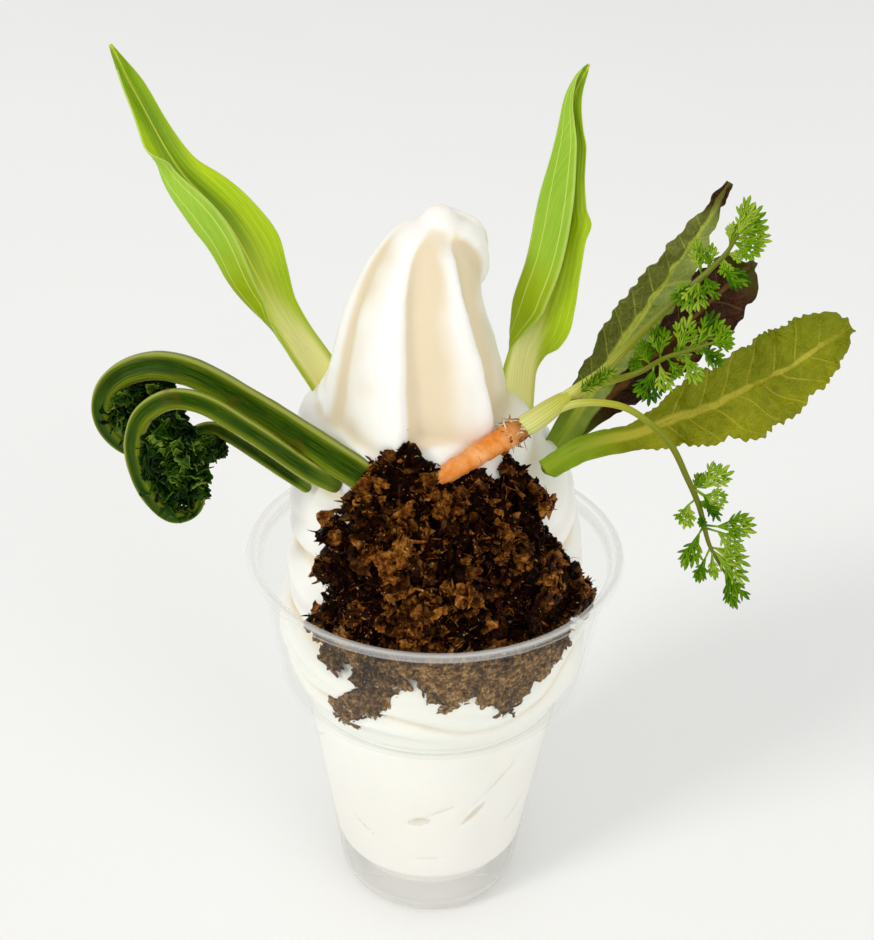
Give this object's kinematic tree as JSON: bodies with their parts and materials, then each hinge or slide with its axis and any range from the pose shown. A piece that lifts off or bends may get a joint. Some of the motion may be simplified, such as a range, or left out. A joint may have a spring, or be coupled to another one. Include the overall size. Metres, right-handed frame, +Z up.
{
  "type": "soft serve cup",
  "caption": "Clear stepped cup of soft serve planted like a garden: dark crumb soil, baby carrot with fronds, fiddleheads, hosta shoots and lettuce leaves.",
  "frame": {"origin": "middle of the cup's flat underside, on the surface that it stands on", "axes": "+Z up along the cup's axis, -Y the front with the crumbs and the carrot, +X the side with the lettuce leaves and the carrot's fronds"},
  "size_m": [0.1789, 0.098, 0.2328],
  "materials": {
    "clear_plastic": "gloss",
    "soft_serve": "satin",
    "crumb": "matte",
    "carrot": "satin",
    "carrot_greens": "satin",
    "hosta_leaf": "satin",
    "lettuce_leaf": "satin",
    "red_lettuce_leaf": "satin",
    "fiddlehead": "satin"
  },
  "bodies": {
    "root": {"cup": "clear_plastic", "soft_serve": "soft_serve", "crumb_heap": "crumb", "carrot": "carrot", "hosta_leaf_left": "hosta_leaf", "hosta_leaf_right": "hosta_leaf", "lettuce_leaf_side": "lettuce_leaf", "lettuce_leaf_upright": "lettuce_leaf", "lettuce_leaf_red": "red_lettuce_leaf", "fiddlehead_back": "fiddlehead", "fiddlehead_front": "fiddlehead", "fiddlehead_small": "fiddlehead"}
  },
  "joints": []
}
